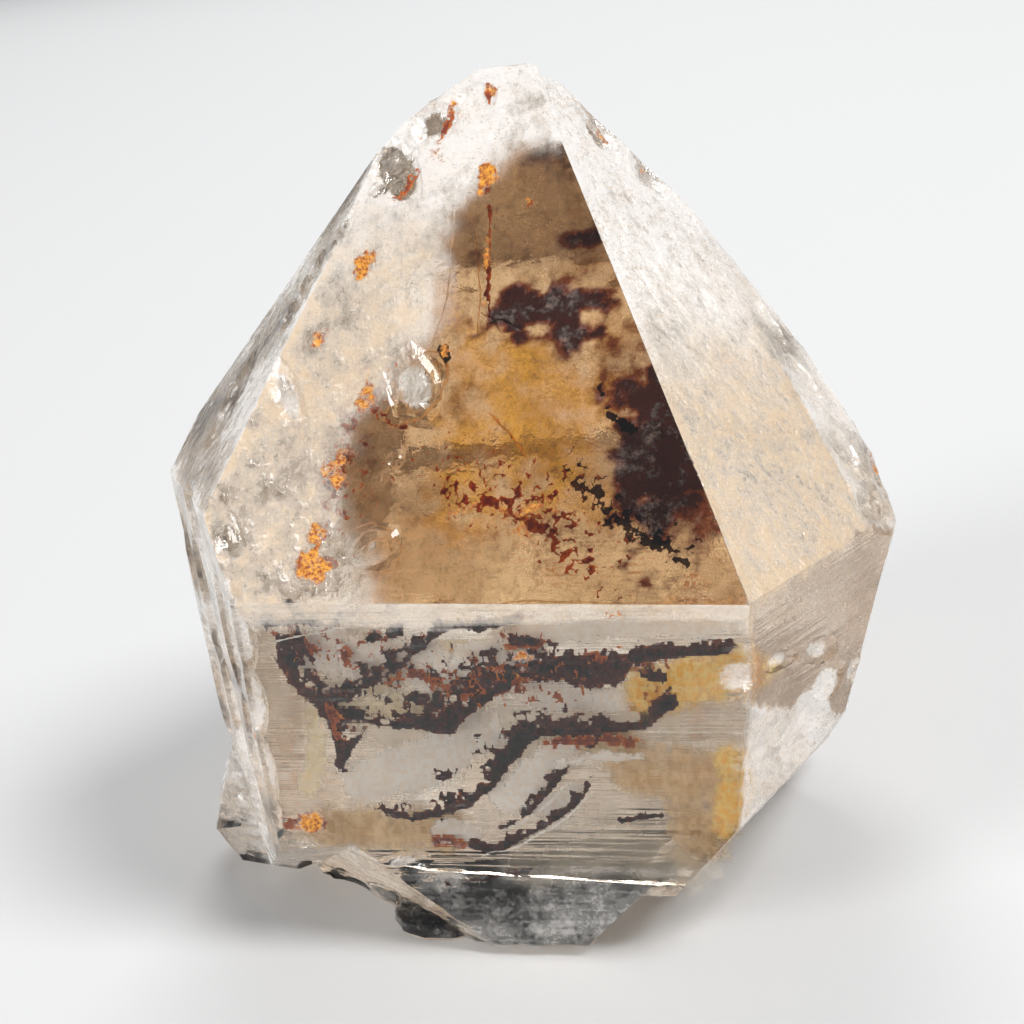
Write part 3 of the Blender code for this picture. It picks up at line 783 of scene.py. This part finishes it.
def sheet_grid(bm, face, depth, reach, path, step, wave, shift):
    """A fine grid laid a little way under a face, gently waved, with its places in the face."""
    low_x = min(p[0] for p in path) - reach
    high_x = max(p[0] for p in path) + reach
    low_up = min(p[1] for p in path) - reach
    high_up = max(p[1] for p in path) + reach
    columns = int((high_x - low_x) / step) + 1
    rows = int((high_up - low_up) / step) + 1
    made = bmesh.ops.create_grid(bm, x_segments=columns, y_segments=rows, size=0.5)
    places = {}
    for vertex in made["verts"]:
        x = low_x + (vertex.co.x + 0.5) * (high_x - low_x)
        up = low_up + (vertex.co.y + 0.5) * (high_up - low_up)
        x += 0.4 * step * math.sin(31.0 * up + 17.0 * x)
        up += 0.4 * step * math.sin(29.0 * x)
        places[vertex] = (x, up)
        lift = min(depth - LEAST_DEPTH, wave * fractal((x, depth, up), 3.0, 3, shift))
        vertex.co = on_face(face, x, up, depth - lift) * MM
    return places


def torn_flakes(name, bands, material, sparse=0.0, size=1.0):
    """Flat torn flakes: grid cells kept along a path, with the rest dropped by a fractal noise."""
    bm = bmesh.new()
    thin = bm.verts.layers.float.new("thin")
    for index, (face, depth, below, above, path, ragged) in enumerate(bands):
        shift = 3.1 * index
        reach = (1.0 + 0.5 * ragged) * max(below, above) + 0.3
        places = sheet_grid(bm, face, depth, reach, path, FLAKE_STEP, FLAKE_WAVE, shift)
        drop = []
        for cell in dict.fromkeys(f for v in places for f in v.link_faces):
            x = sum(places[v][0] for v in cell.verts) / 4.0
            up = sum(places[v][1] for v in cell.verts) / 4.0
            off, side = distance_to_path(x, up, path)
            off /= above if side > 0.0 else below
            tear = ragged if side > 0.0 else 0.35 * ragged
            big = fractal((x, 0.0, up), size, 6, shift)
            fine = fractal((x, 0.0, up), 0.32 * size, 3, shift + 1.3)
            value = 1.0 - sparse - off * (1.0 - 0.7 * sparse) + tear * (0.8 * big + 0.6 * fine)
            if value < KEPT_FROM:
                drop.append(cell)
            for vertex in cell.verts:
                vertex[thin] = max(0.0, min(1.0, 1.0 - 0.8 * (value - KEPT_FROM)))
        bmesh.ops.delete(bm, geom=drop, context="FACES")
    axes = dict.fromkeys(("use_axis_x", "use_axis_y", "use_axis_z"), True)
    for _ in range(2):
        bmesh.ops.smooth_vert(bm, verts=bm.verts, factor=0.5, **axes)
    bmesh.ops.solidify(bm, geom=bm.faces[:], thickness=FLAKE_THICKNESS * MM)
    bmesh.ops.recalc_face_normals(bm, faces=bm.faces)
    new_piece(name, bm, material)


def torn_film(name, films, material):
    """Thin waved films, whose cover fades away from their path."""
    bm = bmesh.new()
    cover = bm.verts.layers.float.new("cover")
    for index, (face, depth, half_width, path) in enumerate(films):
        places = sheet_grid(bm, face, depth, 1.6 * half_width, path, FILM_STEP, FILM_WAVE, 5.3 * index)
        for vertex, (x, up) in places.items():
            off = distance_to_path(x, up, path)[0] / half_width
            vertex[cover] = 1.0 - smooth(off, 0.3, 1.5)
    new_piece(name, bm, material, flat=False)


def finer_route(places):
    """The same route with a point about every CRACK_STEP."""
    route = []
    for (x0, u0), (x1, u1) in zip(places, places[1:]):
        steps = max(2, int(math.hypot(x1 - x0, u1 - u0) / CRACK_STEP))
        for step in range(steps):
            t = step / steps
            route.append((x0 + (x1 - x0) * t, u0 + (u1 - u0) * t))
    route.append(places[-1])
    return route


def crack_lines(name, lines, material):
    """Healed cracks: thin tapering ribbons, drawn out edge by edge along their places."""
    bm = bmesh.new()
    for index, (face, depth, width, places) in enumerate(lines):
        route = finer_route(places)
        last = len(route) - 1
        edge = None
        for number, (x, height) in enumerate(route):
            before = route[max(0, number - 1)]
            after = route[min(last, number + 1)]
            run = Vector((after[0] - before[0], after[1] - before[1])).normalized()
            shake = 0.10 * fractal((x, depth, height), 0.8, 3, index)
            taper = math.sin(math.pi * (0.06 + 0.88 * number / last)) ** 0.5
            half = 0.5 * width * taper * (1.0 + 0.8 * fractal((x, height, 0.0), 0.5, 3, index + 2.0))
            ends = [on_face(face, x - run.y * aside, height + run.x * aside, depth) * MM
                    for aside in (shake - half, shake + half)]
            if edge is None:
                edge = bm.edges.new([bm.verts.new(place) for place in ends])
            else:
                grown = bmesh.ops.extrude_edge_only(bm, edges=[edge])["geom"]
                edge = [g for g in grown if isinstance(g, bmesh.types.BMEdge)][0]
                for vertex, place in zip(edge.verts, ends):
                    vertex.co = place
    bmesh.ops.recalc_face_normals(bm, faces=bm.faces)
    bmesh.ops.solidify(bm, geom=bm.faces[:], thickness=CRACK_THICKNESS * MM)
    new_piece(name, bm, material)


def shut_in_drop(name, x, up, depth, half_sizes, turn, material):
    """A flattened rounded hollow under the front tip face, for water or its bubble."""
    normal, across, slope, _ = AXES["tip_front"]
    bm = bmesh.new()
    bmesh.ops.create_icosphere(bm, subdivisions=4, radius=1.0)
    middle = on_face("tip_front", x, up, depth)
    c, s = math.cos(turn), math.sin(turn)
    for vertex in bm.verts:
        a, b, h = (part * half for part, half in zip(vertex.co, half_sizes))
        swell = 1.0 + 0.25 * fractal((a, b, depth), 1.6, 3, 4.0)
        place = middle + across * (a * c - b * s) * swell + slope * (a * s + b * c) * swell + normal * h
        vertex.co = place * MM
    bmesh.ops.recalc_face_normals(bm, faces=bm.faces)
    new_piece(name, bm, material, flat=False)


# Stage: floor, light and camera, in metres

FLOOR_RADIUS = 4.0
FLOOR_GREY = (0.55, 0.55, 0.55)
SKY = (0.95, 0.97, 1.0, 1.0)
SKY_STRENGTH = 0.36

# The height that the lamps point at, about the middle of the crystal.
AIM_HEIGHT = 0.028

# Lamps: name, place, size, power.
LAMPS = [
    ("key", (1.0, -0.3, 1.4), 0.7, 28.0),
    ("fill", (-1.25, -1.25, 0.8), 0.8, 22.0),
    ("back", (-0.2, 1.4, 1.2), 0.9, 16.0),
]

# The camera's film in mm, and the photograph's width and focal length in pixels.
SENSOR_WIDTH = 36.0
FRAME_WIDTH_PX = 1024.0
FOCAL_LENGTH_PX = 1800.0
EYE_PLACE = (0.02746, -0.12197, 0.07044)
EYE_RISE, EYE_TURN, EYE_ROLL = (math.radians(angle) for angle in (20.0, 14.1, -7.0))


def floor():
    """A plain pale disk under the crystal."""
    bm = bmesh.new()
    bmesh.ops.create_circle(bm, cap_ends=True, segments=96, radius=FLOOR_RADIUS)
    mesh = bpy.data.meshes.new("floor")
    bm.to_mesh(mesh)
    bm.free()
    mesh.materials.append(plain_look("floor", FLOOR_GREY, 0.8))
    piece = bpy.data.objects.new("floor", mesh)
    bpy.context.scene.collection.objects.link(piece)


def studio_light():
    """A soft even sky and three disk lamps that point at the crystal."""
    world = bpy.data.worlds.new("studio")
    bpy.context.scene.world = world
    world.use_nodes = True
    background = world.node_tree.nodes["Background"]
    background.inputs["Color"].default_value = SKY
    background.inputs["Strength"].default_value = SKY_STRENGTH
    for name, place, size, power in LAMPS:
        light = bpy.data.lights.new(name, "AREA")
        light.shape = "DISK"
        light.size = size
        light.energy = power
        lamp = bpy.data.objects.new(name, light)
        lamp.location = place
        aim = Vector((0.0, 0.0, AIM_HEIGHT)) - lamp.location
        lamp.rotation_euler = aim.to_track_quat("-Z", "Y").to_euler()
        bpy.context.scene.collection.objects.link(lamp)


def camera():
    """The photograph's view: in front, a little to the right and above, tilted a little."""
    cam = bpy.data.cameras.new("camera")
    cam.sensor_width = SENSOR_WIDTH
    cam.lens = FOCAL_LENGTH_PX / FRAME_WIDTH_PX * SENSOR_WIDTH
    cam.clip_start = 0.005
    cam.clip_end = 20.0
    level = math.cos(EYE_RISE)
    back = Vector((math.sin(EYE_TURN) * level, -math.cos(EYE_TURN) * level, math.sin(EYE_RISE)))
    right = (-back).cross(Vector((0.0, 0.0, 1.0))).normalized()
    up = right.cross(-back)
    c, s = math.cos(EYE_ROLL), math.sin(EYE_ROLL)
    rolled_right = c * right + s * up
    rolled_up = -s * right + c * up
    rows = [(rolled_right[i], rolled_up[i], back[i], EYE_PLACE[i]) for i in range(3)]
    eye = bpy.data.objects.new("camera", cam)
    eye.matrix_world = Matrix((*rows, (0.0, 0.0, 0.0, 1.0)))
    bpy.context.scene.collection.objects.link(eye)
    bpy.context.scene.camera = eye


def flakes():
    """Dark and rusty flakes and specks under the front faces."""
    dark = flake_look("dark_mineral", (0.001, 0.0008, 0.0008), (0.050, 0.005, 0.002), (0.45, 0.10, 0.015))
    dull = flake_look("dark_fleck", (0.008, 0.007, 0.010), (0.03, 0.02, 0.02), (0.2, 0.1, 0.06))
    rust = flake_look("rust", (0.16, 0.022, 0.006), (0.40, 0.09, 0.012), (0.85, 0.38, 0.06))
    torn_flakes("dark_bands", DARK_BANDS, dark)
    torn_flakes("dark_flecks", DARK_FLECKS, dull)
    torn_flakes("rust_flecks", RUST_FLECKS, rust)
    torn_flakes("dark_specks", DARK_SPECKS, dull, sparse=0.60, size=0.6)
    torn_flakes("rust_specks", RUST_SPECKS, rust, sparse=0.62, size=0.6)


def veils():
    """White, gold, tan, pale and straw-coloured films under the front face."""
    white = veil_look("white_veil", (0.99, 0.96, 0.92), (0.92, 0.82, 0.72), 0.42, 0.75)
    gold = veil_look("gold_veil", (0.95, 0.48, 0.04), (0.97, 0.70, 0.22), 0.05, 1.05, 420.0)
    tan = veil_look("tan_veil", (0.58, 0.35, 0.13), (0.80, 0.58, 0.32), 0.20, 1.1, 260.0)
    pale = veil_look("pale_veil", (0.93, 0.84, 0.70), (0.86, 0.76, 0.62), 0.15, 1.2, 200.0, 0.4)
    straw = veil_look("straw_veil", (0.95, 0.78, 0.45), (0.95, 0.84, 0.62), 0.30, 1.1, 420.0, 0.8)
    torn_film("white_veils", WHITE_VEILS, white)
    torn_film("gold_veils", GOLD_VEILS, gold)
    torn_film("tan_veils", TAN_VEILS, tan)
    torn_film("pale_veils", PALE_VEILS, pale)
    torn_film("straw_veils", STRAW_VEILS, straw)


def cracks_and_water():
    """White healed cracks, two pockets of water and a bubble."""
    healed = spotted_look("healed_crack", (0.95, 0.92, 0.88), (0.80, 0.74, 0.66), 1500.0, 0.35)
    water = glass_look("water", WATER_INDEX)
    gas = glass_look("gas", GAS_INDEX)
    crack_lines("healed_cracks", CRACK_LINES, healed)
    shut_in_drop("water_pocket", -5.7, 23.3, 1.2, (1.7, 2.3, 0.5), -0.5, water)
    shut_in_drop("lower_water_pocket", -8.0, 12.4, 1.0, (1.8, 1.5, 0.4), 0.2, water)
    shut_in_drop("bubble", -6.8, 18.3, 1.0, (0.35, 0.35, 0.3), 0.0, gas)


crystal_skin(quartz_look())
flakes()
veils()
cracks_and_water()
floor()
studio_light()
camera()
bpy.context.scene.view_settings.view_transform = "Standard"
